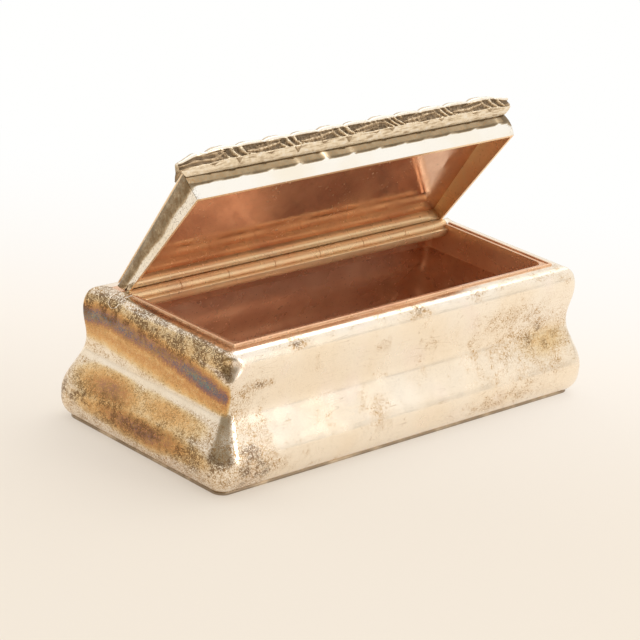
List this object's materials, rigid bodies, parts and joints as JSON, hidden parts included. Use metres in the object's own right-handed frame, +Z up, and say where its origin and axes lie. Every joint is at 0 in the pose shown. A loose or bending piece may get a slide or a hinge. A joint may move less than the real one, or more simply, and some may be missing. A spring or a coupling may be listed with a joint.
{
  "type": "snuff box",
  "caption": "Rectangular silver snuff box with ogee sides, gilt inside and a hinged lid with a cast scroll border along its front edge.",
  "frame": {"origin": "centre of the underside of the base, on the surface that the box stands on", "axes": "+X to the right along the hinge, +Y to the back where the hinge is, +Z up"},
  "size_m": [0.0882, 0.0428, 0.0507],
  "materials": {
    "silver": "polished silver, worn, with specks of brown tarnish",
    "tarnished_silver": "silver with heavy brown and blue tarnish",
    "cast_silver": "cast silver, dull in its hollows",
    "gilt": "silver gilt, rubbed and scratched, coppery",
    "hinge_wire": "drawn wire"
  },
  "bodies": {
    "box": {"base_plate": "silver", "body_front_wall": "silver", "body_back_wall": "silver", "body_left_wall": "tarnished_silver", "body_right_wall": "silver", "bezel_front": "gilt", "bezel_back": "gilt", "bezel_left": "gilt", "bezel_right": "gilt", "hinge_bearer": "gilt", "hinge_pin": "hinge_wire", "hinge_plug_left": "silver", "hinge_plug_right": "silver", "hinge_knuckle_1": "gilt", "hinge_knuckle_3": "gilt", "hinge_knuckle_5": "gilt", "hinge_knuckle_7": "gilt"},
    "lid": {"lid_plate": "gilt", "lid_front_wall": "silver", "lid_left_wall": "silver", "lid_right_wall": "silver", "lid_rear_wall": "gilt", "thumb_border": "cast_silver", "hinge_knuckle_2": "gilt", "hinge_knuckle_4": "gilt", "hinge_knuckle_6": "gilt"}
  },
  "joints": [
    {"name": "lid_hinge", "type": "hinge", "parent": "box", "child": "lid", "pos_m": [0, 0.01125, 0.02289], "axis": [-1, 0, 0], "range_deg": [-54.25, 4.75]}
  ]
}
